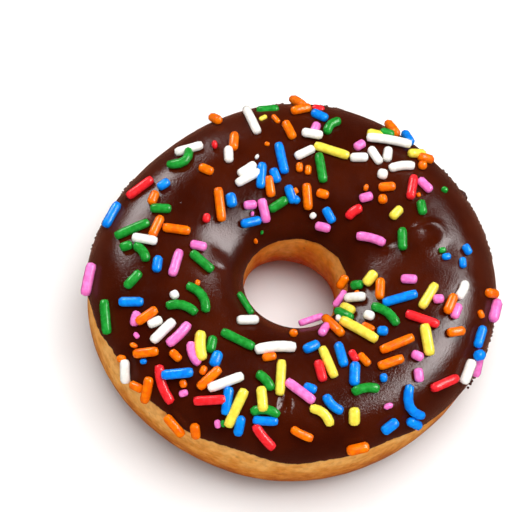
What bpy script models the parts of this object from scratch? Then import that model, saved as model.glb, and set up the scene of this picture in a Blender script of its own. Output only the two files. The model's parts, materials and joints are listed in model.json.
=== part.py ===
"""A ring doughnut with a dipped cap of chocolate icing, in metres, +Z up.

Two solids: the fried dough ring, which stands on a flat foot at z = 0, and the icing, a shell that
wraps over the crown from part-way down the outer side to part-way down the hole. The origin is on the
surface that the doughnut stands on, under the middle of its outline. -Y is the side with the most
bare crust.
"""

import math

import bmesh
import bpy
from mathutils import Vector

# Driving dimensions of the dough ring.
OUTER_RADIUS = 0.0432
HOLE_RADIUS = 0.0101
CROWN_HEIGHT = 0.0279
EQUATOR_HEIGHT = 0.0123
BELLY_DEPTH = 0.0129  # a little more than the equator's height, so that the foot is pressed flat
ROUNDNESS = 2.45  # exponent of the section's superellipse: 2 is an ellipse, more is squarer

# How far the hand-made ring is out of round: (waves round the ring, share of the radius, phase).
OUTLINE_WAVES = ((1, 0.038, 80), (2, 0.023, 77), (3, 0.0085, 263), (4, 0.010, 44))
HOLE_WAVES = ((2, 0.020, 283), (3, 0.004, 54))
CROWN_WAVES = ((1, 0.008, 340), (2, 0.010, 120), (3, 0.006, 40))

# Dents in the crown: (angle round the ring, distance from the hole's middle, half width, depth).
DENTS = (
    (167, 0.0160, 0.0045, 0.0011),
    (29, 0.0215, 0.0040, 0.0012),
    (20, 0.0330, 0.0035, 0.0007),
    (278, 0.0270, 0.0060, 0.0005),
    (95, 0.0300, 0.0070, 0.0006),
    (215, 0.0340, 0.0060, 0.0004),
)

# The icing. It ends on the outer side at these heights above the foot, one for each equal step round
# the ring from +X, and it ran further down on the right and behind. In the hole its edge is a tilted
# circle.
ICING_THICKNESS = 0.0012
ICING_GAP = 0.00035
ICING_LIP = 0.45  # exponent of the thickness towards the edges: less is a blunter lip
OUTER_EDGE_HEIGHTS = (
    0.0098, 0.0106, 0.0118, 0.0132, 0.0132, 0.0126, 0.0138, 0.0144, 0.0132,
    0.0135, 0.0184, 0.0204, 0.0202, 0.0198, 0.0188, 0.0189, 0.0170, 0.0116,
)
INNER_EDGE_HEIGHT = 0.0198
INNER_EDGE_TILT = 0.0018
INNER_EDGE_HIGH_SIDE = 30

# Facets.
AROUND = 72
DOUGH_ACROSS = 30
ICING_ACROSS = 32


def waves(terms, theta):
    """1 plus the sum of the waves at theta: a radius or height is multiplied by it."""
    return 1 + sum(share * math.cos(k * theta - math.radians(phase)) for k, share, phase in terms)


def outer_radius(theta):
    return OUTER_RADIUS * waves(OUTLINE_WAVES, theta)


def hole_radius(theta):
    return HOLE_RADIUS * waves(HOLE_WAVES, theta)


def crown_height(theta):
    return CROWN_HEIGHT * waves(CROWN_WAVES, theta)


def dent_depth(x, y):
    """How far the dents lower the crown above the point (x, y)."""
    depth = 0.0
    for angle, distance, width, most in DENTS:
        dx = x - distance * math.cos(math.radians(angle))
        dy = y - distance * math.sin(math.radians(angle))
        depth += most * math.exp(-(dx * dx + dy * dy) / (width * width))
    return depth


def section_frame(theta):
    """The section's middle radius and its half width at theta."""
    outer, hole = outer_radius(theta), hole_radius(theta)
    return (outer + hole) / 2, (outer - hole) / 2


def skin_point(theta, phi, out=0.0):
    """The point at angle phi of the section at theta, `out` metres off the dough's skin.

    phi is 0 at the outer side, 90 degrees at the crown and 180 degrees in the hole.
    """
    middle, half_width = section_frame(theta)
    rise = crown_height(theta) - EQUATOR_HEIGHT if math.sin(phi) > 0 else BELLY_DEPTH
    c, s = math.cos(phi), math.sin(phi)
    reach = (abs(c / half_width) ** ROUNDNESS + abs(s / rise) ** ROUNDNESS) ** (-1 / ROUNDNESS)
    across, up = reach * c, reach * s
    slope = Vector((
        math.copysign(abs(across) ** (ROUNDNESS - 1), c) / half_width ** ROUNDNESS,
        math.copysign(abs(up) ** (ROUNDNESS - 1), s) / rise ** ROUNDNESS,
    )).normalized()
    radius = middle + across + out * slope.x
    x, y = radius * math.cos(theta), radius * math.sin(theta)
    z = EQUATOR_HEIGHT + up + out * slope.y - dent_depth(x, y) * max(0.0, s) ** 2
    return Vector((x, y, max(0.0, z)))


def closed_curve(values, share):
    """The value at a share of the way round a smooth closed curve through equally spaced values."""
    count = len(values)
    step, along = divmod(share % 1 * count, 1)
    before, start, end, after = (values[(int(step) + k) % count] for k in (-1, 0, 1, 2))
    bend = 2 * before - 5 * start + 4 * end - after
    twist = 3 * (start - end) + after - before
    return start + along * (end - before + along * (bend + along * twist)) / 2


def angle_at_height(theta, height, inside):
    """The section angle at which the dough's skin is at that height, on the outer side or in the hole."""
    rise = height - EQUATOR_HEIGHT
    most = crown_height(theta) - EQUATOR_HEIGHT if rise > 0 else BELLY_DEPTH
    across = section_frame(theta)[1] * (1 - abs(rise / most) ** ROUNDNESS) ** (1 / ROUNDNESS)
    return math.atan2(rise, -across if inside else across)


def icing_span(theta):
    """The section angles of the icing's outer and inner edges."""
    outer_height = closed_curve(OUTER_EDGE_HEIGHTS, theta / (2 * math.pi))
    tilt = INNER_EDGE_TILT * math.cos(theta - math.radians(INNER_EDGE_HIGH_SIDE))
    return (
        angle_at_height(theta, outer_height, False),
        angle_at_height(theta, INNER_EDGE_HEIGHT + tilt, True),
    )


def dough_section(theta):
    return [skin_point(theta, 2 * math.pi * j / DOUGH_ACROSS) for j in range(DOUGH_ACROSS)]


def icing_section(theta):
    """A closed section: over the top from the outer edge to the inner one, and back along the dough."""
    outer, inner = icing_span(theta)
    points = []
    for j in range(ICING_ACROSS):
        turn = 2 * math.pi * (j + 0.5) / ICING_ACROSS
        phi = outer + (inner - outer) * (1 - math.cos(turn)) / 2
        swell = max(0.0, math.sin(turn)) ** ICING_LIP
        points.append(skin_point(theta, phi, ICING_GAP + ICING_THICKNESS * swell))
    return points


def rings_of_points():
    """Each ring's sections, by name, measured from the middle of the hole."""
    turns = [2 * math.pi * i / AROUND for i in range(AROUND)]
    return {
        "dough_ring": [dough_section(theta) for theta in turns],
        "chocolate_icing": [icing_section(theta) for theta in turns],
    }


def footprint_middle(rings):
    """The middle of the whole outline seen from above."""
    points = [point for sections in rings.values() for section in sections for point in section]
    xs, ys = [p.x for p in points], [p.y for p in points]
    return Vector(((min(xs) + max(xs)) / 2, (min(ys) + max(ys)) / 2, 0))


def plain_material(name, colour, roughness):
    material = bpy.data.materials.new(name)
    material.use_nodes = True
    surface = material.node_tree.nodes["Principled BSDF"]
    surface.inputs["Base Color"].default_value = (*colour, 1)
    surface.inputs["Roughness"].default_value = roughness
    surface.inputs["Metallic"].default_value = 0.0
    return material


def ring_object(name, sections, material, middle):
    """One closed ring: sections joined side by side all the way round."""
    bm = bmesh.new()
    loops = [[bm.verts.new(point - middle) for point in section] for section in sections]
    for loop, beside in zip(loops, loops[1:] + loops[:1]):
        for j, corner in enumerate(loop):
            k = (j + 1) % len(loop)
            bm.faces.new((corner, beside[j], beside[k], loop[k]))
    bmesh.ops.recalc_face_normals(bm, faces=bm.faces)
    mesh = bpy.data.meshes.new(name)
    bm.to_mesh(mesh)
    bm.free()
    mesh.shade_smooth()
    mesh.materials.append(material)
    obj = bpy.data.objects.new(name, mesh)
    bpy.context.scene.collection.objects.link(obj)


def build():
    for obj in list(bpy.data.objects):
        bpy.data.objects.remove(obj)
    rings = rings_of_points()
    middle = footprint_middle(rings)
    materials = {
        "dough_ring": plain_material("fried_crust", (0.58, 0.26, 0.07), 0.6),
        "chocolate_icing": plain_material("chocolate_icing", (0.055, 0.013, 0.006), 0.3),
    }
    for name, sections in rings.items():
        ring_object(name, sections, materials[name], middle)


build()
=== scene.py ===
# %% [markdown]
# # A sprinkle frosted doughnut
#
# This lesson builds one ring doughnut: a fried dough ring, a dipped cap of chocolate icing and about two
# hundred sugar sprinkles in seven colours. The imported model is a fixed frame. It says where the
# doughnut stands and how large it is, and each piece below is a finer skin over it.
#
# The frame comes first, because the ring's width and height and the hole's middle are read from it.

# %% Load the fixed frame
import json
import math
import random

import bpy
from mathutils import Matrix, Vector


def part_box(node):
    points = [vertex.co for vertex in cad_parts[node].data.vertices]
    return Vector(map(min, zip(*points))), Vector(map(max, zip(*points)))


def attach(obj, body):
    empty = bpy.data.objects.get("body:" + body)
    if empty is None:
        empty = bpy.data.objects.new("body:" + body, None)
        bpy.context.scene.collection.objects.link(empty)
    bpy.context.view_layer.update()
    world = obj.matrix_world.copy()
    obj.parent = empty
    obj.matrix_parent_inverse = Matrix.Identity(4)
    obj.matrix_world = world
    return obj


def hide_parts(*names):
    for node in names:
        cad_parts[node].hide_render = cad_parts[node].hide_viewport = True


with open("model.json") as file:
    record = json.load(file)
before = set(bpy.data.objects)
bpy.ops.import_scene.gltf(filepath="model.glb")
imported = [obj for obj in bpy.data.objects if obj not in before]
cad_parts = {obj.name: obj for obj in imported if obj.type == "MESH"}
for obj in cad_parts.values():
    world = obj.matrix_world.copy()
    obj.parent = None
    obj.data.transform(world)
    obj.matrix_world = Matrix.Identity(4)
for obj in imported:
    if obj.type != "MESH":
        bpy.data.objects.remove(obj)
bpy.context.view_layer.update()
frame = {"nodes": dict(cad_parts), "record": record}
MM = 0.001
print("frame nodes:", sorted(frame["nodes"]))

# %% [markdown]
# ## Arithmetic inside node trees
#
# Geometry Nodes can move every point of a mesh by a rule, but a rule of thirty Math nodes is hard to
# read. The small class below stands for a number inside a tree: the ordinary signs on it add the Math
# nodes, so a rule is written here as the formula that it is.


# %% A number that lives in a node tree
def feed(tree, value, socket):
    """Gives a socket its value: a wire from another node, or a plain constant."""
    if isinstance(value, Number):
        value = value.socket
    if isinstance(value, bpy.types.NodeSocket):
        tree.links.new(value, socket)
    else:
        socket.default_value = value


class Number:
    """A number inside a node tree, on which the signs of arithmetic add Math nodes."""

    def __init__(self, tree, socket):
        self.tree = tree
        self.socket = socket

    def math(self, operation, *others):
        node = self.tree.nodes.new("ShaderNodeMath")
        node.operation = operation
        for value, slot in zip((self, *others), node.inputs):
            feed(self.tree, value, slot)
        return Number(self.tree, node.outputs[0])

    def __add__(self, other):
        return self.math("ADD", other)

    def __sub__(self, other):
        return self.math("SUBTRACT", other)

    def __rsub__(self, other):
        return -self + other

    def __mul__(self, other):
        return self.math("MULTIPLY", other)

    def __truediv__(self, other):
        return self.math("DIVIDE", other)

    def __rtruediv__(self, other):
        return self ** -1 * other

    def __pow__(self, other):
        return self.math("POWER", other)

    def __neg__(self):
        return self.math("MULTIPLY", -1)

    def __abs__(self):
        return self.math("ABSOLUTE")

    __radd__ = __add__
    __rmul__ = __mul__


def cosine(value):
    """The cosine of a plain angle, or of one inside a node tree."""
    return value.math("COSINE") if isinstance(value, Number) else math.cos(value)


def mix(low, high, share):
    """low where share is 0, high where it is 1."""
    return low + share * (high - low)


# %% [markdown]
# Two more helpers keep the trees short. `add` places one node and feeds it, and `new_tree` opens a node
# group whose inputs have names, so that a size can be changed later from the modifier's own panel.


# %% Helpers that place nodes and open trees
SOCKETS = {
    "number": "NodeSocketFloat", "whole": "NodeSocketInt", "vector": "NodeSocketVector",
    "geometry": "NodeSocketGeometry", "material": "NodeSocketMaterial",
}


def socket_named(sockets, key):
    """The socket in use with that name, or at that place."""
    if isinstance(key, int):
        return sockets[key]
    return next(s for s in sockets if s.name == key and s.enabled)


def add(tree, kind, inputs=None, **options):
    """Adds a node, sets its options, then feeds its inputs by name."""
    node = tree.nodes.new(kind)
    for name, value in options.items():
        setattr(node, name, value)
    for key, value in (inputs or {}).items():
        feed(tree, value, socket_named(node.inputs, key))
    return node


def number(tree, kind, inputs=None, output=0, **options):
    """Adds a node and returns one of its outputs as a Number."""
    node = add(tree, kind, inputs, **options)
    return Number(tree, socket_named(node.outputs, output))


def new_tree(name, inputs, outputs, kind="GeometryNodeTree"):
    """A node group with named inputs and outputs; returns the tree, its inputs and its output node."""
    tree = bpy.data.node_groups.new(name, kind)
    for label, form, *default in inputs:
        socket = tree.interface.new_socket(label, in_out="INPUT", socket_type=SOCKETS[form])
        if default:
            socket.default_value = default[0]
    for label, form in outputs:
        tree.interface.new_socket(label, in_out="OUTPUT", socket_type=SOCKETS[form])
    entry = tree.nodes.new("NodeGroupInput")
    given = {label: Number(tree, entry.outputs[label]) for label, *_ in inputs}
    return tree, given, tree.nodes.new("NodeGroupOutput")


# %% [markdown]
# ## The shape of the ring
#
# A yeast ring is flattened a little by its own weight. Its section is a superellipse, a form between an
# ellipse and a rounded box. The half below the equator is squashed flat where it rests. Swept round in
# a circle it would look machined, so slow waves change the outer radius, the hole and the crown's height
# on the way round, and a few soft dents sink the crown.
#
# The outer radius and the crown's height come from the frame's own dough ring, and the hole's middle from
# the opening that the record states.

# %% Sizes of the ring
OUTLINE_WAVES = ((1, 0.038, 80), (2, 0.023, 77), (3, 0.0085, 263), (4, 0.010, 44))
HOLE_WAVES = ((2, 0.020, 283), (3, 0.004, 54))
CROWN_WAVES = ((1, 0.008, 340), (2, 0.010, 120), (3, 0.006, 40))
DENTS = (
    (167, 16.0, 4.5, 1.1),
    (29, 21.5, 4.0, 1.2),
    (20, 33.0, 3.5, 0.7),
    (278, 27.0, 6.0, 0.5),
    (95, 30.0, 7.0, 0.6),
    (215, 34.0, 6.0, 0.4),
)


def waves(terms, theta):
    """1 plus slow waves round the ring: (waves in a turn, share of the size, phase in degrees)."""
    return 1 + sum(share * cosine(k * theta - math.radians(phase)) for k, share, phase in terms)


dough_low, dough_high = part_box("dough_ring")
across_waves = waves(OUTLINE_WAVES, 0) + waves(OUTLINE_WAVES, math.pi)
highest_wave = max(waves(CROWN_WAVES, math.radians(turn)) for turn in range(360))
hole_low, hole_high = (Vector(corner) for corner in frame["record"]["physics"]["openings"][0]["box_m"])
HOLE_MIDDLE = (hole_low + hole_high) / 2
HOLE_MIDDLE.z = 0
RING = {
    "Outer radius": (dough_high.x - dough_low.x) / across_waves,
    "Hole radius": 10.1 * MM,
    "Crown height": dough_high.z / highest_wave,
    "Equator height": 12.3 * MM,
    "Belly depth": 12.9 * MM,
    "Roundness": 2.45,
}
print({name: round(size, 5) for name, size in RING.items()}, "hole's middle", HOLE_MIDDLE)

# %% [markdown]
# ## One rule for every skin
#
# The dough, the icing and the sprinkles all lie on the same form, so it is one node group. It takes a
# place round the ring, a place over the section (0 at the outer side, a quarter turn at the crown, half a
# turn in the hole) and a distance out from the dough's skin, and it gives the point there and the
# direction that points outward.


# %% The skin as a node group
RING_INPUTS = [(label, "number", size) for label, size in RING.items()]


def section(theta, sizes):
    """The section's middle radius, half width and rise above the equator, at a place round the ring."""
    outer = sizes["Outer radius"] * waves(OUTLINE_WAVES, theta)
    hole = sizes["Hole radius"] * waves(HOLE_WAVES, theta)
    crown = sizes["Crown height"] * waves(CROWN_WAVES, theta)
    return (outer + hole) / 2, (outer - hole) / 2, crown - sizes["Equator height"]


def soft_bells(tree, here, bells):
    """The sum at this place of soft bell-shaped mounds: (middle, half width, height) in millimetres."""
    total = 0
    for middle, width, height in bells:
        apart = number(tree, "ShaderNodeVectorMath", {0: here, 1: middle * MM}, "Value", operation="DISTANCE")
        total = total + (-(apart / (width * MM)) ** 2).math("EXPONENT") * (height * MM)
    return total


def dent_depth(tree, x, y):
    """How far the dents lower the crown above (x, y)."""
    here = add(tree, "ShaderNodeCombineXYZ", {"X": x, "Y": y}).outputs[0]
    turns = [math.radians(angle) for angle, *_ in DENTS]
    return soft_bells(tree, here, [
        (Vector((math.cos(turn), math.sin(turn), 0)) * distance, width, most)
        for turn, (_, distance, width, most) in zip(turns, DENTS)
    ])


def skin_group():
    tree, given, result = new_tree(
        "Doughnut skin",
        [("Round", "number"), ("Over", "number"), ("Out", "number"), *RING_INPUTS],
        [("Position", "vector"), ("Outward", "vector")],
    )
    theta, phi, out, power = (given[label] for label in ("Round", "Over", "Out", "Roundness"))
    middle, half_width, crown_rise = section(theta, given)
    c, s = phi.math("COSINE"), phi.math("SINE")
    rise = mix(given["Belly depth"], crown_rise, s.math("GREATER_THAN", 0))
    reach = (abs(c / half_width) ** power + abs(s / rise) ** power) ** (-1 / power)
    across, up = reach * c, reach * s
    side_slope = c.math("SIGN") * abs(across) ** (power - 1) / half_width ** power
    top_slope = s.math("SIGN") * abs(up) ** (power - 1) / rise ** power
    steepness = (side_slope ** 2 + top_slope ** 2).math("SQRT")
    side_slope, top_slope = side_slope / steepness, top_slope / steepness
    radius = middle + across + out * side_slope
    x, y = radius * theta.math("COSINE"), radius * theta.math("SINE")
    z = given["Equator height"] + up + out * top_slope - dent_depth(tree, x, y) * s.math("MAXIMUM", 0) ** 2
    point = {"X": x + HOLE_MIDDLE.x, "Y": y + HOLE_MIDDLE.y, "Z": z.math("MAXIMUM", 0)}
    outward = {"X": side_slope * theta.math("COSINE"), "Y": side_slope * theta.math("SINE"), "Z": top_slope}
    feed(tree, add(tree, "ShaderNodeCombineXYZ", point).outputs[0], result.inputs["Position"])
    feed(tree, add(tree, "ShaderNodeCombineXYZ", outward).outputs[0], result.inputs["Outward"])
    return tree


SKIN = skin_group()
print("the skin's rule has", len(SKIN.nodes), "nodes")


def skin_at(tree, given, theta, phi, out):
    """The skin's rule placed in another tree, with that tree's own sizes."""
    node = tree.nodes.new("GeometryNodeGroup")
    node.node_tree = SKIN
    values = {"Round": theta, "Over": phi, "Out": out}
    values.update({label: given[label] for label in RING})
    for label, value in values.items():
        feed(tree, value, node.inputs[label])
    return node


# %% [markdown]
# A ring is a flat grid whose two pairs of edges meet: once round the hole, once round the section. The
# next helpers make that grid, close its seams, and turn a finished tree into a plain mesh. The result of
# a tree is read with `new_from_object`, so no modifier is left on a piece.


# %% From a grid to a plain ring of mesh
def ring_grid(tree, around, across):
    """A grid of around x across faces, with each point's place round the ring and round the section.

    Both are captured on the flat grid, because they count on where its points start.
    """
    grid = add(tree, "GeometryNodeMeshGrid", {
        "Size X": 1.0, "Size Y": 1.0, "Vertices X": around + 1, "Vertices Y": across + 1,
    })
    place = tree.nodes.new("GeometryNodeInputPosition")
    split = add(tree, "ShaderNodeSeparateXYZ", {0: place.outputs[0]})
    kept = add(tree, "GeometryNodeCaptureAttribute", {"Geometry": grid.outputs["Mesh"]})
    for label, axis in (("Round", "X"), ("Over", "Y")):
        kept.capture_items.new("FLOAT", label)
        feed(tree, (Number(tree, split.outputs[axis]) + 0.5) * math.tau, kept.inputs[label])
    turns = [Number(tree, kept.outputs[label]) for label in ("Round", "Over")]
    return kept.outputs["Geometry"], *turns


def closed_smooth(tree, given, geometry, result):
    """Ends a tree: seams closed, faces smooth, instances made real, one material."""
    closed = add(tree, "GeometryNodeMergeByDistance", {"Geometry": geometry, "Distance": 1e-6})
    smooth = add(tree, "GeometryNodeSetShadeSmooth", {"Geometry": closed.outputs[0]})
    real = add(tree, "GeometryNodeRealizeInstances", {"Geometry": smooth.outputs[0]})
    finish = add(tree, "GeometryNodeSetMaterial", {
        "Geometry": real.outputs[0], "Material": given["Finish"],
    })
    feed(tree, finish.outputs[0], result.inputs["Geometry"])


def made_by(tree, name, values, base=None):
    """Runs a tree on a base mesh and returns its result as a plain object of that name."""
    maker = bpy.data.objects.new(name + "_maker", base or bpy.data.meshes.new(name + "_base"))
    bpy.context.scene.collection.objects.link(maker)
    modifier = maker.modifiers.new("Maker", "NODES")
    modifier.node_group = tree
    keys = {item.name: item.identifier for item in tree.interface.items_tree if item.in_out == "INPUT"}
    for label, value in values.items():
        modifier[keys[label]] = value
    maker.update_tag()
    evaluated = maker.evaluated_get(bpy.context.evaluated_depsgraph_get())
    mesh = bpy.data.meshes.new_from_object(evaluated)
    mesh.name = name
    bpy.data.objects.remove(maker)
    piece = bpy.data.objects.new(name, mesh)
    bpy.context.scene.collection.objects.link(piece)
    triangles = sum(len(face.vertices) - 2 for face in mesh.polygons)
    size = [round(side / MM, 1) for side in piece.dimensions]
    print(f"{name}: {len(mesh.vertices)} points, {triangles} triangles, {size} mm")
    return piece


def plan_mesh(name, edges, values):
    """A mesh of bare points whose named values say where each point's piece lies."""
    count = len(next(iter(values.values())))
    mesh = bpy.data.meshes.new(name)
    mesh.from_pydata([(0, 0, 0)] * count, edges, [])
    for label, numbers in values.items():
        mesh.attributes.new(label, "FLOAT", "POINT").data.foreach_set("value", numbers)
    return mesh


def stored(tree, label):
    """A named value that the plan carries, as a Number."""
    return number(tree, "GeometryNodeInputNamedAttribute", {"Name": label}, "Attribute", data_type="FLOAT")


def relief(tree, geometry, coarse, fine, keep):
    """Moves a skin in and out by two sizes of soft noise; coarse and fine are (grain, height), in metres."""
    place = tree.nodes.new("GeometryNodeInputPosition").outputs[0]
    height = 0
    for grain, most in (coarse, fine):
        noise = number(tree, "ShaderNodeTexNoise", {"Vector": place, "Scale": 1 / grain, "Detail": 2.0})
        height = height + (noise - 0.5) * most
    normal = tree.nodes.new("GeometryNodeInputNormal").outputs[0]
    offset = add(tree, "ShaderNodeVectorMath", {0: normal}, operation="SCALE")
    feed(tree, height * keep, offset.inputs["Scale"])
    moved = add(tree, "GeometryNodeSetPosition", {"Geometry": geometry, "Offset": offset.outputs[0]})
    return moved.outputs[0]


# %% [markdown]
# ## Finishes
#
# Three effects are used by more than one finish, so each is a shader group that is built once: cloudy
# patches of colour, a fine grain that catches the light, and small round pores. All of them read the
# piece's own coordinates, so they stay on the surface when the doughnut is turned.


# %% Shared effects as shader groups
def patches_group():
    """Cloudy patches: a mask from 0 to 1, with soft edges between Low and High."""
    tree, given, result = new_tree(
        "Cloudy patches",
        [("Place", "vector"), ("Size", "number", 4 * MM), ("Low", "number", 0.4), ("High", "number", 0.6)],
        [("Mask", "number")],
        "ShaderNodeTree",
    )
    scale = 1 / given["Size"]
    noise = number(tree, "ShaderNodeTexNoise", {"Vector": given["Place"], "Scale": scale, "Detail": 3.0})
    soft = number(tree, "ShaderNodeMapRange", {
        "Value": noise, "From Min": given["Low"], "From Max": given["High"],
    }, interpolation_type="SMOOTHSTEP")
    feed(tree, soft, result.inputs["Mask"])
    return tree


def grain_group():
    """A fine uneven grain, as a height."""
    tree, given, result = new_tree(
        "Fine grain",
        [("Place", "vector"), ("Size", "number", 0.5 * MM), ("Roughness", "number", 0.6)],
        [("Height", "number")],
        "ShaderNodeTree",
    )
    noise = number(tree, "ShaderNodeTexNoise", {
        "Vector": given["Place"], "Scale": 1 / given["Size"], "Detail": 4.0, "Roughness": given["Roughness"],
    })
    feed(tree, noise, result.inputs["Height"])
    return tree


def pores_group():
    """Small round pores: a mask that is 1 in a pore. Only a share of the cells has one."""
    tree, given, result = new_tree(
        "Pores",
        [("Place", "vector"), ("Spacing", "number", 3 * MM), ("Width", "number", 0.2),
         ("Share", "number", 0.3)],
        [("Mask", "number")],
        "ShaderNodeTree",
    )
    cells = add(tree, "ShaderNodeTexVoronoi", {"Vector": given["Place"], "Scale": 1 / given["Spacing"]})
    near = number(tree, "ShaderNodeMapRange", {
        "Value": cells.outputs["Distance"], "From Min": given["Width"], "From Max": 0.0,
    }, interpolation_type="SMOOTHSTEP")
    chance = number(tree, "ShaderNodeSeparateColor", {0: cells.outputs["Color"]})
    chosen = given["Share"].math("GREATER_THAN", chance)
    feed(tree, near * chosen, result.inputs["Mask"])
    return tree


PATCHES, GRAIN, PORES = patches_group(), grain_group(), pores_group()
print("shared effects:", PATCHES.name, GRAIN.name, PORES.name)


# %% Helpers for a material
def open_material(name):
    """A new material: itself, its tree, its Principled surface and the place on the piece."""
    material = bpy.data.materials.new(name)
    material.use_nodes = True
    tree = material.node_tree
    place = tree.nodes.new("ShaderNodeTexCoord").outputs["Object"]
    return material, tree, tree.nodes["Principled BSDF"], place


def settle(surface, **constants):
    """Sets the plain settings of a surface: sheen_weight is its Sheen Weight."""
    for name, value in constants.items():
        surface.inputs[name.replace("_", " ").title().replace("Ior", "IOR")].default_value = value


def effect(tree, group, place, **values):
    """One of the shared effects, placed in a material with its own values."""
    node = tree.nodes.new("ShaderNodeGroup")
    node.node_tree = group
    feed(tree, place, node.inputs["Place"])
    for label, value in values.items():
        feed(tree, value, node.inputs[label.capitalize()])
    return Number(tree, node.outputs[0])


def blended(tree, first, second, share):
    """A colour between two others."""
    node = tree.nodes.new("ShaderNodeMix")
    node.data_type = "RGBA"
    for slot, value in ((0, share), (6, first), (7, second)):
        feed(tree, value, node.inputs[slot])
    return node.outputs[2]


def bumped(tree, surface, height, depth):
    """Feeds a height to the surface's normal, as relief of that depth in metres."""
    bump = add(tree, "ShaderNodeBump", {"Distance": depth, "Height": height})
    feed(tree, bump.outputs[0], surface.inputs["Normal"])


# %% [markdown]
# ### Fried crust
#
# Oil browns the dough where it lies in the fat. A ring floats, so a band at half height stays pale, and
# the colour deepens towards the foot. The wall of the hole gets a redder, brighter ramp than the outer
# side. That is painted light: it stands in for the warm light bounced in the hole and makes up for its shade.
# A colour ramp over the height gives the bands of each, and patches blur their edges.

# %% The crust's finish
CRUST_BANDS = (
    (0.00, (0.25, 0.055, 0.004)),
    (0.14, (0.33, 0.070, 0.005)),
    (0.28, (0.45, 0.100, 0.006)),
    (0.38, (0.58, 0.160, 0.012)),
    (0.47, (0.72, 0.250, 0.026)),
    (0.57, (0.84, 0.370, 0.070)),
    (0.66, (0.88, 0.440, 0.115)),
    (0.85, (0.60, 0.200, 0.020)),
)
# The hole's wall: a redder, brighter gold than the outer crust. This is painted light for the hole's bounce
# and shade.
HOLE_PAINTED_LIGHT_BANDS = (
    (0.00, (0.50, 0.045, 0.0002)),
    (0.25, (0.62, 0.062, 0.0003)),
    (0.42, (0.68, 0.120, 0.0020)),
    (0.56, (0.82, 0.250, 0.0200)),
    (0.72, (0.88, 0.360, 0.0700)),
)


def colour_ramp(tree, bands, share):
    node = add(tree, "ShaderNodeValToRGB", {"Fac": share})
    points = node.color_ramp.elements
    while len(points) < len(bands):
        points.new(1.0)
    for point, (place, colour) in zip(points, bands):
        point.position = place
        point.color = (*colour, 1)
    return node.outputs[0]


def crust_finish():
    material, tree, surface, place = open_material("fried_crust")
    split = add(tree, "ShaderNodeSeparateXYZ", {0: place})
    height = Number(tree, split.outputs["Z"]) / dough_high.z
    clouds = effect(tree, PATCHES, place, size=7 * MM, low=0.3, high=0.7)
    drawn_out = add(tree, "ShaderNodeVectorMath", {0: place, 1: (1, 1, 1.8)}, operation="MULTIPLY").outputs[0]
    streaks = effect(tree, PATCHES, drawn_out, size=3.6 * MM, low=0.36, high=0.66)
    specks = effect(tree, PATCHES, place, size=1.3 * MM, low=0.35, high=0.75)
    bands = colour_ramp(tree, CRUST_BANDS, height + (clouds - 0.5) * 0.12 + (streaks - 0.5) * 0.10)
    flat = add(tree, "ShaderNodeVectorMath", {0: place, 1: HOLE_MIDDLE}, operation="SUBTRACT")
    level = add(tree, "ShaderNodeVectorMath", {0: flat.outputs[0], 1: (1, 1, 0)}, operation="MULTIPLY")
    from_middle = number(tree, "ShaderNodeVectorMath", {0: level.outputs[0]}, "Value", operation="LENGTH")
    in_hole = number(tree, "ShaderNodeMapRange", {
        "Value": from_middle, "From Min": 22 * MM, "From Max": 12 * MM,
    }, interpolation_type="SMOOTHSTEP")
    # In the hole the painted-light ramp takes over, brighter and redder than the outer crust.
    hole_painted_light_bands = colour_ramp(tree, HOLE_PAINTED_LIGHT_BANDS, height + (clouds - 0.5) * 0.25)
    golden = blended(tree, bands, hole_painted_light_bands, in_hole)
    speckled = blended(tree, golden, (0.34, 0.085, 0.007, 1), specks * 0.32)
    pores = effect(tree, PORES, place, spacing=2.2 * MM, width=0.22, share=0.35)
    # The pores are coloured a darker brown: painted shade in the pores.
    feed(tree, blended(tree, speckled, (0.24, 0.062, 0.006, 1), pores * 0.55), surface.inputs["Base Color"])
    feed(tree, specks * 0.15 + 0.50, surface.inputs["Roughness"])
    settle(surface, specular_ior_level=0.08)
    grain = effect(tree, GRAIN, place, size=0.9 * MM)
    bumped(tree, surface, grain + streaks * 0.4 + clouds * 0.5 - pores * 0.8, 0.16 * MM)
    return material


CRUST = crust_finish()


# %% [markdown]
# ### Chocolate icing
#
# The glaze is nearly black where it reflects nothing, and warm brown where it is thin. It set with a
# skin of very fine crystals, so its highlights are broad and grainy and not sharp.


# %% The icing's finish
def icing_finish():
    material, tree, surface, place = open_material("chocolate_icing")
    clouds = effect(tree, PATCHES, place, size=11 * MM, low=0.3, high=0.7)
    brown = blended(tree, (0.034, 0.0030, 0.0003, 1), (0.056, 0.0062, 0.0008, 1), clouds)
    feed(tree, brown, surface.inputs["Base Color"])
    frost = effect(tree, PATCHES, place, size=0.7 * MM, low=0.3, high=0.7)
    haze = effect(tree, PATCHES, place, size=4 * MM, low=0.3, high=0.7)
    feed(tree, frost * 0.05 + haze * 0.06 + 0.11, surface.inputs["Roughness"])
    settle(surface, specular_ior_level=0.13, sheen_weight=0.20, sheen_roughness=0.4,
           sheen_tint=(1.0, 0.42, 0.28, 1))
    grain = effect(tree, GRAIN, place, size=0.40 * MM, roughness=0.55)
    pores = effect(tree, PORES, place, spacing=3.5 * MM, width=0.07, share=0.3)
    bumped(tree, surface, grain + haze * 0.3 - pores, 0.060 * MM)
    return material


ICING = icing_finish()

# %% [markdown]
# ### Sugar sprinkles
#
# A sprinkle is a thread of coloured sugar paste with a thin coat of wax. The colour is slightly uneven
# along the thread and the coat is satin. One function makes the seven finishes.

# %% The sprinkles' finishes
SPRINKLE_COLOURS = {
    "red": (0.93, 0.030, 0.040),
    "orange": (0.98, 0.205, 0.001),
    "yellow": (0.98, 0.80, 0.10),
    "green": (0.020, 0.33, 0.040),
    "blue": (0.003, 0.28, 0.90),
    "pink": (0.98, 0.24, 0.63),
    "white": (0.96, 0.93, 0.87),
}


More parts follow.
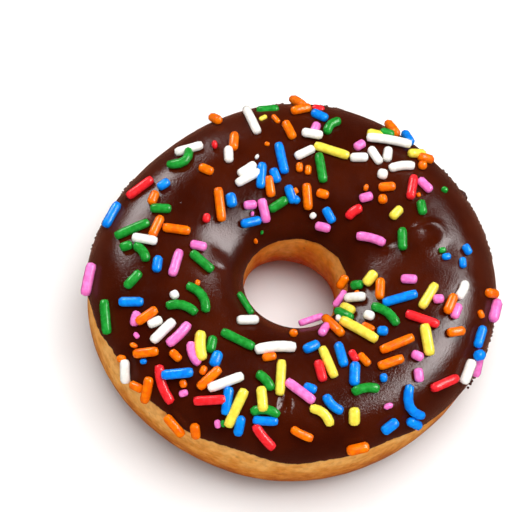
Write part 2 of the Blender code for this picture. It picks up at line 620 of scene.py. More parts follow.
def sprinkle_finish(name, colour):
    material, tree, surface, place = open_material("sprinkle_" + name)
    uneven = effect(tree, PATCHES, place, size=1.0 * MM, low=0.3, high=0.7)
    deep = tuple(0.86 * part ** 1.25 for part in colour)
    feed(tree, blended(tree, (*colour, 1), (*deep, 1), uneven), surface.inputs["Base Color"])
    feed(tree, uneven * 0.12 + 0.16, surface.inputs["Roughness"])
    settle(surface, specular_ior_level=0.12)
    grain = effect(tree, GRAIN, place, size=0.35 * MM)
    bumped(tree, surface, grain, 0.02 * MM)
    return material


SPRINKLE_FINISHES = {name: sprinkle_finish(name, colour) for name, colour in SPRINKLE_COLOURS.items()}
print("finishes:", CRUST.name, ICING.name, *(m.name for m in SPRINKLE_FINISHES.values()))

# %% [markdown]
# ## The dough ring
#
# The grid goes through the skin's rule at no distance from the skin, and then two sizes of soft noise
# give the crust its lumps. The noise fades out at the foot, so the ring still rests flat. The lower half
# of the hole's wall curves away under the ring a little more than the outer side does.


# %% Grow the dough ring
def dough_tree():
    tree, given, result = new_tree(
        "Dough ring",
        [("Around", "whole", 360), ("Across", "whole", 120), ("Lump height", "number", 0.35 * MM),
         ("Wall recess", "number", 1.3 * MM), ("Finish", "material"), *RING_INPUTS],
        [("Geometry", "geometry")],
    )
    grid, theta, phi = ring_grid(tree, given["Around"], given["Across"])
    skin = skin_at(tree, given, theta, phi, 0.0)
    inward = (-phi.math("COSINE")).math("MAXIMUM", 0) * (-phi.math("SINE")).math("MAXIMUM", 0) * 2
    recess = inward * given["Wall recess"]
    back_a_little = add(tree, "ShaderNodeCombineXYZ", {
        "X": recess * theta.math("COSINE"), "Y": recess * theta.math("SINE"),
    })
    ring = add(tree, "GeometryNodeSetPosition", {
        "Geometry": grid, "Position": skin.outputs["Position"], "Offset": back_a_little.outputs[0],
    })
    place = add(tree, "ShaderNodeSeparateXYZ", {0: tree.nodes.new("GeometryNodeInputPosition").outputs[0]})
    off_foot = number(tree, "ShaderNodeMapRange", {"Value": place.outputs["Z"], "From Max": 4 * MM})
    lumps = relief(tree, ring.outputs[0], (9 * MM, 1.0), (2.2 * MM, 0.25), off_foot * given["Lump height"])
    closed_smooth(tree, given, lumps, result)
    return tree


dough = made_by(dough_tree(), "dough_ring_crust", {"Finish": CRUST})
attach(dough, "root")
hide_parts("dough_ring")

# %% [markdown]
# ## The chocolate icing
#
# The ring was dipped upside down in glaze and turned over, so the icing covers the crown and ends in a
# wandering line down the outer side and in the hole. The line's height is a curve round the ring. From a
# height the section's angle follows in closed form. Each section of the icing is a closed loop: out over
# the top from the outer edge to the inner one, and back just under the crust's skin.

# %% Where the icing ends
OUTER_EDGE_HEIGHTS = (
    9.8, 10.2, 10.6, 11.2, 11.8, 12.6, 13.2, 13.3, 13.2, 12.9, 12.6, 13.2,
    13.8, 14.2, 14.4, 14.0, 13.2, 12.4, 11.8, 13.6, 18.4, 19.4, 20.8, 19.8,
    20.2, 19.3, 20.0, 19.8, 18.5, 18.9, 18.8, 19.0, 17.4, 15.8, 14.4, 11.6,
)
INNER_EDGE_HIGH_SIDE = -5
CURVE_TOP = 30 * MM


def edge_curve(tree, share):
    """The height of the icing's outer edge, at a share of the way round the ring."""
    node = add(tree, "ShaderNodeFloatCurve", {"Value": share})
    line = node.mapping.curves[0]
    count = len(OUTER_EDGE_HEIGHTS)
    line.points[0].location = (0, OUTER_EDGE_HEIGHTS[0] * MM / CURVE_TOP)
    line.points[1].location = (1, OUTER_EDGE_HEIGHTS[0] * MM / CURVE_TOP)
    for step in range(1, count):
        line.points.new(step / count, OUTER_EDGE_HEIGHTS[step] * MM / CURVE_TOP)
    node.mapping.update()
    return Number(tree, node.outputs[0]) * CURVE_TOP


def round_noise(tree, theta, grain, power):
    """Noise that closes on itself round the ring: it is read on a circle."""
    spot = add(tree, "ShaderNodeCombineXYZ", {"X": theta.math("COSINE"), "Y": theta.math("SINE")})
    noise = number(tree, "ShaderNodeTexNoise", {
        "Vector": spot.outputs[0], "Scale": RING["Outer radius"] / grain, "Detail": 2.0,
    })
    return (noise - 0.5) * power


def angle_at_height(height, theta, given, side):
    """The section angle where the skin is at that height: side is 1 outside and -1 in the hole."""
    half_width, crown_rise = section(theta, given)[1:]
    rise = height - given["Equator height"]
    most = mix(given["Belly depth"], crown_rise, rise.math("GREATER_THAN", 0))
    power = given["Roundness"]
    across = half_width * (1 - abs(rise / most) ** power) ** (1 / power)
    return rise.math("ARCTAN2", across * side)


# %% [markdown]
# As it set, the icing puckered: a hooked ridge on one side, a burst bubble, a few pits where a sprinkle
# was pushed in. Each is a row of soft mounds that overlap. A mound below zero is a pit.

# %% Puckers in the icing
# (x, y, half width, height) from the hole's middle, all in millimetres
PUCKERS = (
    (23.6, 14.6, 0.9, 0.40), (24.6, 15.7, 0.9, 0.60), (25.8, 16.4, 0.9, 0.70), (27.1, 16.5, 0.9, 0.70),
    (28.3, 16.0, 0.9, 0.55), (29.2, 15.0, 0.9, 0.45), (29.4, 13.8, 0.9, 0.45), (29.0, 12.6, 0.8, 0.45),
    (28.5, 11.6, 0.8, 0.35), (26.2, 13.8, 1.9, -0.40), (36.9, 5.7, 3.0, 0.30),
    (18.3, 10.4, 0.9, -0.80), (17.2, 11.4, 0.7, 0.20), (-15.9, -3.1, 0.8, -0.50), (-16.3, 1.5, 1.8, -0.35),
    (3.7, -31.4, 1.0, -0.80), (5.2, -31.2, 0.5, 0.40), (4.6, -30.0, 0.5, 0.40), (3.2, -29.8, 0.5, 0.40),
    (2.2, -31.0, 0.5, 0.40), (2.4, -32.5, 0.5, 0.40), (3.9, -33.0, 0.5, 0.40), (5.0, -32.4, 0.5, 0.40),
    (12.0, 14.6, 1.2, 0.35), (14.0, 13.6, 1.2, 0.35),
)


def pucker_height(tree):
    """How far the puckers raise the icing at this point."""
    place = tree.nodes.new("GeometryNodeInputPosition").outputs[0]
    level = add(tree, "ShaderNodeVectorMath", {0: place, 1: (1, 1, 0)}, operation="MULTIPLY").outputs[0]
    middle = HOLE_MIDDLE / MM
    return soft_bells(tree, level, [(Vector((x, y, 0)) + middle, *size) for x, y, *size in PUCKERS])


# %% Pour the icing
def icing_tree():
    tree, given, result = new_tree(
        "Chocolate icing",
        [("Around", "whole", 720), ("Across", "whole", 120),
         ("Thickness", "number", 1.2 * MM), ("Soak", "number", 0.15 * MM), ("Lip", "number", 0.45),
         ("Edge wander", "number", 0.9 * MM), ("Edge crumble", "number", 0.9 * MM),
         ("Inner edge height", "number", 19.8 * MM), ("Inner edge tilt", "number", 1.8 * MM),
         ("Wave height", "number", 0.26 * MM), ("Finish", "material"), *RING_INPUTS],
        [("Geometry", "geometry")],
    )
    grid, theta, turn = ring_grid(tree, given["Around"], given["Across"])
    crumble = round_noise(tree, theta, 1.0 * MM, given["Edge crumble"])
    wander = round_noise(tree, theta, 7 * MM, given["Edge wander"])
    outer_height = edge_curve(tree, theta / math.tau) + wander + crumble
    tilt = given["Inner edge tilt"] * cosine(theta - math.radians(INNER_EDGE_HIGH_SIDE))
    inner_height = given["Inner edge height"] + tilt + round_noise(tree, theta, 9 * MM, given["Edge wander"])
    outer = angle_at_height(outer_height, theta, given, 1)
    inner = angle_at_height(inner_height, theta, given, -1)
    phi = mix(outer, inner, (1 - cosine(turn)) / 2)
    swell = turn.math("SINE").math("MAXIMUM", 0) ** given["Lip"]
    out = swell * (given["Thickness"] + given["Soak"]) - given["Soak"]
    skin = skin_at(tree, given, theta, phi, out)
    shell = add(tree, "GeometryNodeSetPosition", {"Geometry": grid, "Position": skin.outputs["Position"]})
    flowed = relief(tree, shell.outputs[0], (9 * MM, 1.0), (4.0 * MM, 0.15), swell * given["Wave height"])
    upward = add(tree, "ShaderNodeCombineXYZ", {"Z": pucker_height(tree) * swell})
    puckered = add(tree, "GeometryNodeSetPosition", {"Geometry": flowed, "Offset": upward.outputs[0]})
    closed_smooth(tree, given, puckered.outputs[0], result)
    return tree


icing = made_by(icing_tree(), "icing_cap", {"Finish": ICING})
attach(icing, "root")
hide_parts("chocolate_icing")

# %% [markdown]
# Where the glaze broke off the dipping tray it left crumbs: a rough fringe along the outer side and a
# few beads on the bare crust. A crumb is a small ball that noise makes uneven. A fixed seed scatters
# them inside the strips below, and the beads have a row each.

# %% Crumbs of icing
# (from round, to round, from over, to over, how many, smallest, largest, seat), degrees and millimetres.
# The seat is how far a crumb's middle lies off the dough's skin: small on bare crust.
CRUMB_STRIPS = (
    (40.5, 52, 8, 28, 120, 0.30, 0.80, 1.0),
    (41.8, 43.6, 20, 27, 20, 0.60, 1.10, 1.2),
    (29, 40, 6, 26, 150, 0.30, 0.75, 1.0),
    (22, 29, 6, 23, 40, 0.30, 0.55, 1.0),
    (86, 93, 18, 30.5, 34, 0.35, 0.85, 1.0),
    (100, 107, 18, 30.5, 40, 0.35, 0.85, 1.0),
    (155, 162, 12, 24, 30, 0.25, 0.50, 1.0),
    (168, 181, 10, 19, 36, 0.25, 0.60, 0.9),
    (344, 351, 0, 7, 9, 0.60, 1.20, 0.8),
    (354, 366, 3, 12, 18, 0.30, 0.65, 0.9),
)
CRUMB_BEADS = (  # (round, over, width)
    (280.5, 25.5, 1.2), (279.3, 27, 0.9), (305, 27.5, 0.7), (308, 26.5, 0.6), (204, 28, 0.9), (206, 31, 0.7),
    (250.5, 30, 0.7), (252, 27.5, 0.6), (265, 31.5, 0.6), (292, 29, 0.6), (231, 27, 0.7), (322, 25, 0.7),
)
BEAD_SEAT = 0.1


def crumb_plan():
    """A mesh of single points, one for each crumb, that carry its place and its width."""
    dice = random.Random(11)
    rows = [(*bead, BEAD_SEAT) for bead in CRUMB_BEADS]
    for round_from, round_to, over_from, over_to, count, small, large, seat in CRUMB_STRIPS:
        for _ in range(count):
            size = mix(small, large, dice.random() ** 2)
            rows.append((dice.uniform(round_from, round_to), dice.uniform(over_from, over_to), size, seat))
    return plan_mesh("crumb_plan", [], {
        "round": [math.radians(row[0]) for row in rows],
        "over": [math.radians(row[1]) for row in rows],
        "wide": [row[2] * MM for row in rows],
        "seat": [row[3] * MM for row in rows],
    })


def crumb_tree():
    tree, given, result = new_tree(
        "Crumbs",
        [("Plan", "geometry"), ("Fineness", "whole", 2), ("Unevenness", "number", 0.5 * MM),
         ("Finish", "material"), *RING_INPUTS],
        [("Geometry", "geometry")],
    )
    theta, phi, wide, seat = (stored(tree, label) for label in ("round", "over", "wide", "seat"))
    skin = skin_at(tree, given, theta, phi, seat)
    spread = add(tree, "GeometryNodeSetPosition", {
        "Geometry": given["Plan"], "Position": skin.outputs["Position"],
    })
    points = add(tree, "GeometryNodeMeshToPoints", {"Mesh": spread.outputs[0]})
    ball = add(tree, "GeometryNodeMeshIcoSphere", {"Radius": 0.5, "Subdivisions": given["Fineness"]})
    balls = add(tree, "GeometryNodeInstanceOnPoints", {
        "Points": points.outputs[0], "Instance": ball.outputs["Mesh"], "Scale": wide,
    })
    loose = add(tree, "GeometryNodeRealizeInstances", {"Geometry": balls.outputs[0]})
    rough = relief(tree, loose.outputs[0], (0.7 * MM, 1.0), (0.3 * MM, 0.3), given["Unevenness"])
    closed_smooth(tree, given, rough, result)
    return tree


crumbs = made_by(crumb_tree(), "icing_crumbs", {"Finish": ICING}, crumb_plan())
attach(crumbs, "root")

# %% [markdown]
# ## Sprinkles
#
# Sprinkles are cut from a thread of sugar paste about two millimetres thick, so they are short rods with
# blunt rounded ends, and a few are bent or broken. They were strewn by hand on the wet icing: most lie
# flat in it and some lie over others. One row below lays one rod, by the places of its two tips on the
# skin. A rule makes every rod, so a row is all that a new one needs.

# %% Where each sprinkle lies
# (tip round, tip over, other tip round, other tip over, bend, lift, thickness). The places are in
# degrees on the skin. Bend is how far the middle bulges to the left, as a share of the length. Lift and
# thickness are in millimetres, and the last three may be left out.
SPRINKLES = {
    "red": (
        (157.7, 54, 167, 44.5), (134, 65, 132, 67), (160, 105, 165, 108, 0, 0, 1.7), (52.3, 67, 44.8, 82.2),
        (58, 126, 55.9, 114, 0.12), (95.6, 41, 91.5, 42.5, 0, -1.1), (346.5, 94.7, 348.3, 69),
        (231, 55.5, 242.1, 42.5, -0.1), (247.2, 51.5, 256.7, 62.3, 0, 0.2), (292.7, 101.4, 293.2, 84.2),
        (311.6, 101.6, 311.4, 91.4, 0, 0, 1.8), (338.7, 37.7, 329, 46.9), (268, 53.6, 275.5, 40.3, -0.04),
    ),
    "orange": (
        (126.5, 34, 126, 48, 0, 0.3), (124, 64, 128, 77.5), (144, 74, 141.2, 85), (105, 63.5, 102, 79),
        (108.7, 55, 107, 63, 0, 0, 1.2), (114.3, 79.5, 112.2, 81.5, 0, 0, 1.0), (101.5, 31, 98, 49, 0, 0.1),
        (102.5, 54, 96, 48.5, 0, 0.2), (99.2, 100, 99, 107.5, 0, 0, 1.6),
        (94.5, 101.5, 94.3, 109, 0, 0, 1.5), (74, 53.5, 71.8, 54.5, 0, 0, 1.2), (73, 30, 67.6, 45),
        (57.5, 51, 54.3, 41.5), (55, 57, 53.2, 52.5), (117, 107.7, 118.5, 122.8),
        (101.8, 119, 99.6, 123, 0, 0, 1.1), (94.5, 115.5, 89.3, 133), (87, 120.5, 78.2, 120),
        (147, 143.5, 144, 144.5, 0, 0, 1.4), (63.7, 101.5, 61.2, 100.5, 0, 0, 1.7), (58, 95, 53.2, 84),
        (53.8, 97, 50, 101.3), (46, 73, 44.2, 74, 0, 0, 1.0), (171.5, 76, 181.8, 74.5),
        (162.3, 62.7, 168, 64.7), (176.3, 80, 174, 101.7), (144.9, 97, 158.8, 116.7),
        (204.2, 107.5, 205.5, 111, 0, 0, 1.5), (213.2, 74.2, 215, 58, 0, 0.6), (4.5, 119.5, 349.1, 115.4),
        (353.8, 134.5, 351.5, 132.5, 0, 0, 1.4), (328.4, 114, 330, 104.3, 0, 0, 1.6),
        (314.5, 139, 313.3, 114.5), (1.5, 67, 353.3, 68.3, 0, 0.6), (347.3, 61.8, 351.4, 52.2),
        (7, 42.5, 8.8, 31), (0.6, 45.5, 359, 41, 0, 0, 1.4), (13.5, 144, 2, 151),
        (280, 128, 280, 123.6, 0, 0, 1.9), (220.1, 50.8, 221, 48, 0, 0, 1.9), (222.8, 46.2, 227.4, 60.3),
        (220.3, 34.5, 222, 39, 0, 0, 1.7), (228.2, 30.8, 232.3, 35, 0, 0, 2.0),
        (231.6, 45.8, 234.9, 29.6, 0.04, 0.4), (243.4, 73.9, 244.2, 67.7, 0, 0, 1.5),
        (248.8, 78.4, 246.3, 59.3), (240, 58, 242.3, 54.8, 0, 0, 1.6), (230, 66.3, 235.1, 66.2, 0, 0, 1.9),
        (263.4, 98.6, 270.3, 103.6, 0, 0, 1.8), (338.7, 79.3, 323.4, 89.5), (328.8, 74.5, 317.8, 80.4),
        (314.4, 96.4, 315.3, 84.5, 0, 0, 1.8), (242, 31.9, 249.2, 25), (250.7, 39, 252.9, 29.3),
        (279.9, 54.3, 287, 47.3, -0.04, 0, 1.9), (297, 35.2, 303.9, 34.1, 0, 0, 2.4),
    ),
    "yellow": (
        (113.5, 57, 110.7, 54.5, 0, 0, 1.1), (93.5, 83, 77.3, 85), (75.8, 59, 70.5, 54.5),
        (60.2, 55, 57.3, 43), (41, 103, 43.3, 92), (9.8, 123.3, 358.8, 128.7, 0, 0, 2.4),
        (335.6, 137.4, 333.8, 125.4), (321, 126.8, 326.1, 96.2, 0, 0, 2.3), (4.6, 80.5, 351.8, 86),
        (345.8, 78.7, 336.2, 62.7, 0, 0, 2.4), (231.6, 90.7, 241.7, 75.4, -0.07, 0.4, 2.4),
        (261.4, 72.9, 260.3, 46.7, 0, 0.4, 2.2), (273.5, 101.3, 274.8, 74.4),
        (266.8, 77.2, 270, 62, 0, 0.9, 2.2), (297.2, 111, 298.5, 85), (302.1, 62.4, 300.4, 51, 0, 0, 2.4),
        (286, 66.8, 292.7, 53.9, 0.2, 0.1),
    ),
    "green": (
        (150.7, 54, 141, 55, -0.46), (113, 42, 105.8, 45, 0, -0.9), (85.5, 57, 89, 71.5, -0.2),
        (90.7, 90, 84.3, 113), (72.3, 54, 67.8, 50.5, 0, 0.6), (123, 130, 106.8, 126),
        (136, 141, 134.5, 142, 0, 0, 1.2), (34, 99, 22, 104), (42.4, 76, 36.2, 80.2),
        (44, 54.5, 42.3, 51.5, 0, 0, 1.4), (20, 77.3, 20.3, 72, 0, 0, 1.4), (175.3, 70, 182.2, 48.7),
        (169.7, 65.7, 166.8, 80.3), (186.4, 54.2, 185.2, 62.5), (185.5, 63.3, 192.4, 73.2, 0.16),
        (196.3, 69.3, 201.4, 57.8), (202.5, 42.2, 212.8, 36.5), (185.9, 105.8, 196.8, 122.1),
        (205.5, 100.3, 223.8, 103, 0.22), (213.2, 80.2, 222.5, 97, 0.19), (236.8, 94.6, 241.3, 83),
        (237.4, 101.2, 257.6, 103.8), (215, 137.5, 241, 130.5, 0, 0, 1.5), (359.7, 139, 0, 130.5),
        (342.4, 118, 338.8, 94.2, 0.15), (328.6, 138.2, 327.5, 121.5),
        (263.2, 85.9, 271.2, 76.7, 0.13, 0, 2.2), (265.8, 59.4, 275.6, 60.9, 0.19),
        (257.9, 48.8, 259.2, 45.2, 0, 0, 1.1), (303.1, 71.3, 313.4, 66.3, 0.13),
    ),
    "blue": (
        (108.7, 82, 107.2, 109), (95.7, 53, 90, 58), (67.2, 31, 62.6, 43.5), (118, 96.5, 124, 114.5),
        (113.7, 103, 112.1, 114.5), (106.3, 117, 102, 129.5), (102.5, 129, 98.7, 125),
        (77.7, 128, 65.3, 133.5), (168.8, 39, 177.8, 37), (160.8, 62.3, 156, 65.5),
        (142, 106, 146.6, 115, 0, 0, 2.4), (149.6, 127, 132.3, 133), (21.8, 58.5, 18.3, 55.5, 0, 0, 1.9),
        (189.9, 82, 197.2, 80.3), (205.4, 51.7, 208.5, 67.5), (17, 75.8, 17.6, 69.6, 0, 0, 1.6),
        (17, 61.3, 13, 61.3, 0, 0, 1.6), (347, 112.4, 358.3, 92), (330.5, 102.8, 333.8, 96.3),
        (356.8, 39.2, 349.8, 37.3), (225.9, 46.4, 227, 49.8, 0, 0, 1.2), (234.3, 52, 241.9, 66, 0, 0.8, 2.2),
        (243.9, 87.6, 246.2, 76.3, 0, 0, 2.4), (255.5, 70.3, 258.4, 52.8),
        (285.8, 110, 296.6, 114.3, 0, 0, 2.2), (284.3, 82.5, 289.7, 78.5), (292.8, 75, 298, 61.7, -0.14),
        (267, 55.9, 275.5, 58, -0.03, 0, 2.0), (263.2, 56.3, 264, 43.4), (307.7, 110.6, 304.6, 91.3),
        (310.3, 91.6, 304.9, 75.4, 0, 0, 2.3), (315.7, 73, 318.3, 70.5, 0, 0.2, 2.0),
        (324, 58.7, 323, 34.2, -0.3), (317.8, 38.5, 321, 27.5), (314.5, 42.8, 308.7, 40, 0, 0, 2.3),
        (347, 37.5, 349.3, 31.8, 0, 0.7, 2.4),
    ),
    "pink": (
        (94.3, 74, 93.3, 63.5), (77, 76.5, 74.7, 68.5), (79.7, 140.5, 64.5, 137.5),
        (126.5, 120.5, 129, 136, 0, 0.7), (139.6, 118.7, 130.5, 122.7),
        (137.5, 126, 135.5, 127.5, 0, 0, 1.3), (61, 111, 56.8, 102.5), (43, 129, 28.7, 113.7, 0.07),
        (50.5, 66, 43.9, 64.5), (181.3, 104.2, 180.2, 116.2), (185.7, 97.8, 199.8, 91.6),
        (189.1, 33.2, 198, 25.2, 0, 0, 2.3), (211, 62, 215.3, 56.2, -0.08),
        (217, 53.5, 219.2, 54.2, 0, 0, 1.1), (224.6, 88.2, 227.4, 66.7, 0.06, 0, 2.2),
        (4.6, 106.4, 5.2, 94.5), (357.5, 80.2, 359, 72.8), (359, 61.8, 353.2, 62.4),
        (7.5, 29, 0.2, 31.7, 0, 0, 2.4), (356.6, 144.5, 336.5, 147.5, 0.1, 0, 1.6),
        (288, 145, 320, 148, 0, 0, 1.6), (300.5, 122, 311, 130, 0, 0, 1.9),
        (232.3, 80.4, 241.5, 72.4, -0.12), (242.2, 49.3, 244, 54, 0, 0, 1.5),
        (276.6, 85.8, 288.2, 70.5, 0, 0.2, 2.2), (332.5, 73.2, 333.9, 65), (330, 63.2, 327.1, 55.3),
        (350.6, 32.8, 344.8, 19.3, 0, -0.2), (312.2, 53.3, 315, 52.5, 0.2, 0, 1.3),
        (256.3, 47.8, 257.7, 43, 0, 0, 1.3),
    ),
    "white": (
        (116.3, 42, 116, 71.5), (120, 88.5, 118.8, 91, 0, 0, 1.3), (99, 74, 90.4, 75, 0, 0.6),
        (101.5, 95.5, 93, 85.5), (145.3, 51, 136.3, 61), (129, 73, 132.5, 85), (132.1, 98, 121.3, 95.5),
        (136, 103, 120.3, 102.3), (75, 66, 61.5, 49, 0.03, 0.7), (77, 86, 70.3, 78.5),
        (72, 70.5, 64.7, 77.5), (66.5, 62, 63.6, 72.5), (60.6, 77, 55.2, 60.5, 0.07),
        (63, 86, 59, 82, 0, 0, 2.4), (87, 134.5, 82, 136.5, 0, 0, 1.6),
        (102.7, 123, 102, 125.5, 0, 0.6, 1.2), (183, 62, 184, 80.2, 0, 0.8), (209.8, 86.3, 208.6, 93),
        (217.6, 74.2, 217.2, 63.8), (220.3, 81, 223.4, 60, 0, 0, 2.2), (238.6, 115.5, 249, 127),
        (345.3, 139.6, 349, 125), (335.4, 118.5, 336.7, 111), (324.5, 133, 321.5, 128.5, 0, 0, 1.5),
        (8, 60.3, 1, 64, 0.09), (222.2, 39.4, 227, 27.8), (258.8, 80.8, 249.2, 62.3, 0, 0.2, 2.2),
        (258.4, 101, 281.5, 110.9, 0.07, 0.3, 2.4), (346.2, 36, 339.1, 29.6, 0, 0, 2.3),
    ),
}
STRAIGHT = (0, 0, 2.1)  # the bend, lift and thickness of a row that leaves them out
print("sprinkles laid by hand:", {name: len(rows) for name, rows in SPRINKLES.items()})


# %% One sprinkle for each edge of a plan
def full_row(row):
    return (*row, *STRAIGHT[len(row) - 4:])


def sprinkle_plan(name, rows):
    """A mesh with one edge for each sprinkle; its points carry the places, bend, lift and thickness."""
    edges = [(2 * n, 2 * n + 1) for n in range(len(rows))]
    values = {"round": [], "over": [], "bend": [], "lift": [], "thick": []}
    for start_round, start_over, end_round, end_over, bend, lift, thick in rows:
        short_way = (end_round - start_round + 180) % 360 - 180
        for turn, over in ((start_round, start_over), (start_round + short_way, end_over)):
            values["round"].append(math.radians(turn))
            values["over"].append(math.radians(over))
            values["bend"].append(bend)
            values["lift"].append(lift * MM)
            values["thick"].append(thick * MM)
    return plan_mesh(f"{name}_plan", edges, values)


def sprinkle_tree():
    tree, given, result = new_tree(
        "Sprinkles",
        [("Plan", "geometry"), ("Stations", "whole", 9), ("Sides", "whole", 8),
         ("Icing thickness", "number", 1.2 * MM), ("Bedded", "number", 0.35 * MM),
         ("Blunt end", "number", 0.8), ("Blunt power", "number", 2.4), ("Lumps", "number", 0.13 * MM),
         ("Finish", "material"), *RING_INPUTS],
        [("Geometry", "geometry")],
    )

    def scaled(vector, size):
        node = add(tree, "ShaderNodeVectorMath", {0: vector}, operation="SCALE")
        feed(tree, size, node.inputs["Scale"])
        return node.outputs[0]

    def vectors(operation, first, second, output="Vector"):
        node = add(tree, "ShaderNodeVectorMath", {0: first, 1: second}, operation=operation)
        return node.outputs[output]

    thick, bend = stored(tree, "thick"), stored(tree, "bend")
    out = given["Icing thickness"] + thick / 2 - given["Bedded"] + stored(tree, "lift")
    skin = skin_at(tree, given, stored(tree, "round"), stored(tree, "over"), out)
    plan = add(tree, "GeometryNodeSetPosition", {
        "Geometry": given["Plan"], "Position": skin.outputs["Position"],
    })
    place = tree.nodes.new("GeometryNodeInputPosition").outputs[0]
    # Read on an edge, the same rule gives the skin half way between the two tips.
    below = vectors("SUBTRACT", skin.outputs["Position"], place)
    known = add(tree, "GeometryNodeCaptureAttribute", {"Geometry": plan.outputs[0]}, domain="EDGE")
    for form, label, value in (("VECTOR", "Outward", skin.outputs["Outward"]), ("VECTOR", "Below", below)):
        known.capture_items.new(form, label)
        feed(tree, value, known.inputs[label])
    line = add(tree, "GeometryNodeMeshToCurve", {"Mesh": known.outputs["Geometry"]})
    rods = add(tree, "GeometryNodeResampleCurve", {"Curve": line.outputs[0], "Count": given["Stations"]})
    outward = vectors("NORMALIZE", known.outputs["Outward"], (0, 0, 0))
    sunk = Number(tree, vectors("DOT_PRODUCT", known.outputs["Below"], outward, "Value")).math("MAXIMUM", 0)
    even = number(tree, "GeometryNodeSplineParameter", output="Factor")
    length = number(tree, "GeometryNodeSplineLength", output="Length")
    along = (1 - cosine(even * math.pi)) / 2
    bow = 1 - (along * 2 - 1) ** 2
    tangent = tree.nodes.new("GeometryNodeInputTangent").outputs[0]
    left = vectors("CROSS_PRODUCT", outward, tangent)
    closer = scaled(tangent, (along - even) * length)
    bulge = scaled(left, bow * bend * length)
    raised = scaled(outward, sunk * (bow * 0.35 + 0.5))
    shift = vectors("ADD", vectors("ADD", closer, bulge), raised)
    radius = thick / 2
    from_tip = along.math("MINIMUM", 1 - along) * length / (radius * given["Blunt end"])
    power = given["Blunt power"]
    round_end = (1 - (1 - from_tip.math("MINIMUM", 1)) ** power) ** (1 / power)
    # The radius is kept before the stations move, because it counts on their even spacing.
    kept = add(tree, "GeometryNodeCaptureAttribute", {"Geometry": rods.outputs[0]})
    kept.capture_items.new("FLOAT", "Radius")
    feed(tree, radius * round_end, kept.inputs["Radius"])
    bent = add(tree, "GeometryNodeSetPosition", {"Geometry": kept.outputs["Geometry"], "Offset": shift})
    circle = add(tree, "GeometryNodeCurvePrimitiveCircle", {"Resolution": given["Sides"], "Radius": 1.0})
    tube = add(tree, "GeometryNodeCurveToMesh", {
        "Curve": bent.outputs[0], "Profile Curve": circle.outputs[0], "Scale": kept.outputs["Radius"],
    })
    merged = add(tree, "GeometryNodeMergeByDistance", {"Geometry": tube.outputs[0], "Distance": 1e-6})
    lumpy = relief(tree, merged.outputs[0], (1.7 * MM, 1.0), (0.7 * MM, 0.3), given["Lumps"])
    closed_smooth(tree, given, lumpy, result)
    return tree


# %% Lay the sprinkles, one piece for each colour
SPRINKLE_TREE = sprinkle_tree()
for name, rows in SPRINKLES.items():
    plan = sprinkle_plan(name, [full_row(row) for row in rows])
    piece = made_by(SPRINKLE_TREE, "sprinkles_" + name, {"Finish": SPRINKLE_FINISHES[name]}, plan)
    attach(piece, "root")

# %% [markdown]
# ## Floor, light and camera
#
# A plain white floor, a white sky and a lamp overhead give the soft even light of a light tent. The
# gloss is made apart from it. Three soft panels, a large one at the right and smaller ones at the left
# and behind, show in the icing but light nothing else, and floor, sky and overhead lamp light the
# doughnut but stay out of its reflections.

# %% The floor
floor_mesh = bpy.data.meshes.new("floor")
FLOOR_REACH = 2.0
corners = [(x * FLOOR_REACH, y * FLOOR_REACH, 0) for x, y in ((-1, -1), (1, -1), (1, 1), (-1, 1))]
floor_mesh.from_pydata(corners, [], [(0, 1, 2, 3)])
floor = bpy.data.objects.new("floor", floor_mesh)
bpy.context.scene.collection.objects.link(floor)
white, _, floor_surface, _ = open_material("white_floor")
settle(floor_surface, base_color=(0.83, 0.82, 0.81, 1), roughness=0.9)
floor_mesh.materials.append(white)
floor.visible_glossy = False
print("the floor reaches", FLOOR_REACH, "m each way")


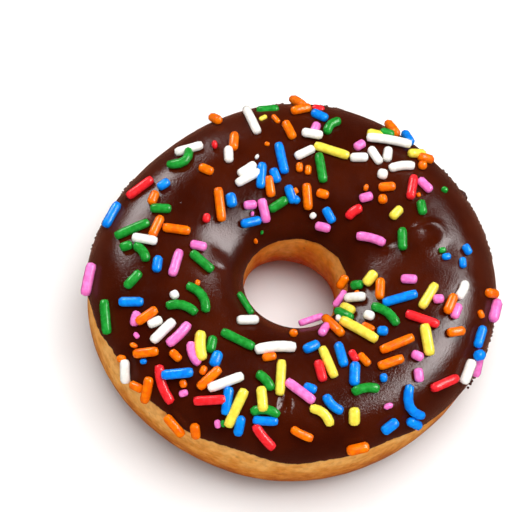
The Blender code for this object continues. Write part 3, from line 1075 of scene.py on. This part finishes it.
# %% The sky and the soft panels
def panel(name, azimuth, elevation, distance, width, height, watts):
    """A soft panel that looks at the doughnut. Azimuth 0 is the far side, 90 the right."""
    lamp = bpy.data.lights.new(name, "AREA")
    lamp.shape = "RECTANGLE"
    lamp.size, lamp.size_y = width, height
    lamp.energy = watts
    level = math.cos(math.radians(elevation))
    towards = Vector((level * math.sin(math.radians(azimuth)), level * math.cos(math.radians(azimuth)),
                      math.sin(math.radians(elevation))))
    holder = bpy.data.objects.new(name, lamp)
    holder.location = towards * distance
    holder.rotation_euler = towards.to_track_quat("Z", "Y").to_euler()
    bpy.context.scene.collection.objects.link(holder)
    return holder


world = bpy.data.worlds.new("sky")
bpy.context.scene.world = world
world.use_nodes = True
sky = world.node_tree.nodes["Background"]
sky.inputs["Color"].default_value = (1.0, 1.0, 1.0, 1)
path = world.node_tree.nodes.new("ShaderNodeLightPath")
SKY_STRENGTH = 0.55
SKY_IN_GLOSS = 0.0
gloss = Number(world.node_tree, path.outputs["Is Glossy Ray"])
feed(world.node_tree, mix(SKY_STRENGTH, SKY_IN_GLOSS, gloss), sky.inputs["Strength"])
for sheen in (panel("left_panel", -48, 29, 0.9, 0.42, 0.36, 13),
              panel("right_panel", 78, 44, 0.9, 0.64, 0.44, 32),
              panel("back_panel", 38, 41, 0.9, 0.20, 0.24, 3)):
    sheen.visible_diffuse = False
overhead = panel("overhead", 60, 84, 0.9, 0.7, 0.7, 8.8)
overhead.visible_glossy = False
bpy.context.scene.view_settings.view_transform = "Standard"

# %% The camera
ELEVATION = math.radians(64.5)
ROLL = math.radians(12.4)
DISTANCE = 0.45
SENSOR = 36.0  # the camera takes this and the focal length in millimetres
FOCAL_LENGTH = 144.0
TARGET_HEIGHT = 12 * MM
AIM_LEFT, AIM_UP = 7.1 * MM, 9.4 * MM
back = Vector((0, -math.cos(ELEVATION), math.sin(ELEVATION)))
level = Vector((1, 0, 0))
rise = back.cross(level)
right = level * math.cos(ROLL) + rise * math.sin(ROLL)
up = -level * math.sin(ROLL) + rise * math.cos(ROLL)
target = HOLE_MIDDLE + Vector((0, 0, TARGET_HEIGHT))
eye = target + back * DISTANCE
aim = target - right * AIM_LEFT + up * AIM_UP
look = (eye - aim).normalized()
side = up.cross(look).normalized()
lens = bpy.data.cameras.new("camera")
lens.sensor_width = SENSOR
lens.lens = FOCAL_LENGTH
camera = bpy.data.objects.new("camera", lens)
camera.matrix_world = Matrix((side, look.cross(side), look)).transposed().to_4x4()
camera.location = eye
bpy.context.scene.collection.objects.link(camera)
bpy.context.scene.camera = camera
print("the camera stands", round((eye - target).length, 3), "m from the doughnut")
